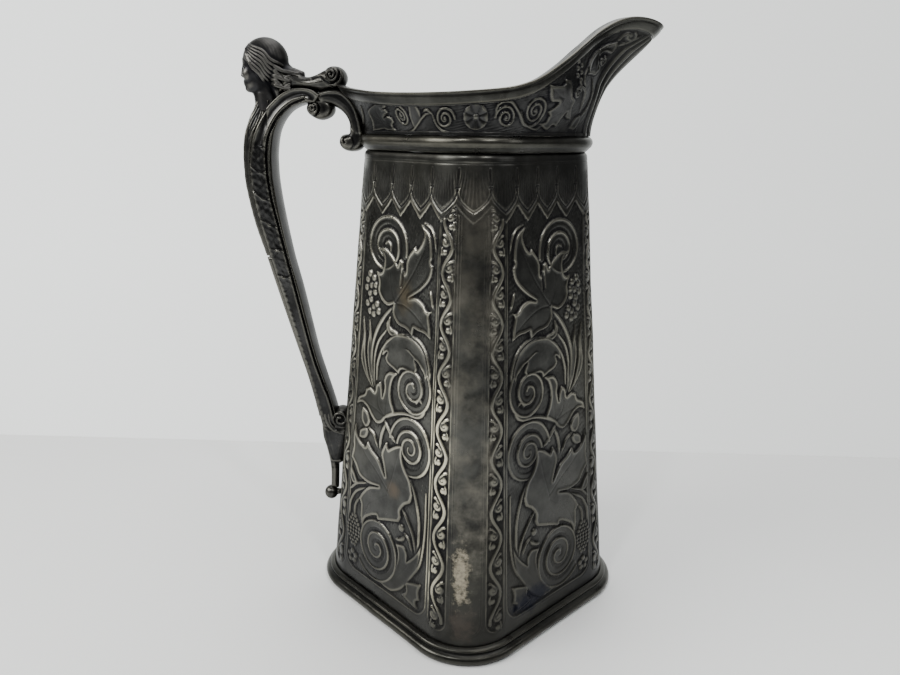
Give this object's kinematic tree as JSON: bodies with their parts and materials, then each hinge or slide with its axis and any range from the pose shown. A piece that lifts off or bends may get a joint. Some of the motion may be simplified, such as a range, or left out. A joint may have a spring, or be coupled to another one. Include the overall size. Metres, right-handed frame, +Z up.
{
  "type": "water pitcher",
  "caption": "Four-sided tapering silver water pitcher with scrolling relief, a moulded foot, a flared pouring lip and a cast scroll handle topped by a small head.",
  "frame": {"origin": "centre of the foot's resting plane, under the middle of the body", "axes": "+Z up, +X towards the pouring lip, handle towards -X; the body's four corners point along X and Y"},
  "size_m": [0.178, 0.1426, 0.2588],
  "materials": {
    "body_silver": "polished, oxidised dark in the recesses",
    "moulding_silver": "polished",
    "collar_silver": "satin, oxidised dark",
    "handle_silver": "polished, oxidised dark in the recesses",
    "figure_silver": "satin, oxidised dark"
  },
  "bodies": {
    "root": {"body_shell": "body_silver", "base_plate": "body_silver", "foot_rim": "moulding_silver", "shoulder_ring": "moulding_silver", "rim_moulding": "moulding_silver", "neck_collar": "collar_silver", "pouring_lip": "collar_silver", "handle_stem": "handle_silver", "spine_strap": "handle_silver", "chest_leaf": "handle_silver", "crest_scroll": "handle_silver", "crest_arm": "handle_silver", "under_scroll": "handle_silver", "collar_scroll": "handle_silver", "collar_curl": "handle_silver", "lower_scroll": "handle_silver", "lower_leaf": "handle_silver", "lower_bud": "handle_silver", "figure_head": "figure_silver"}
  },
  "joints": []
}
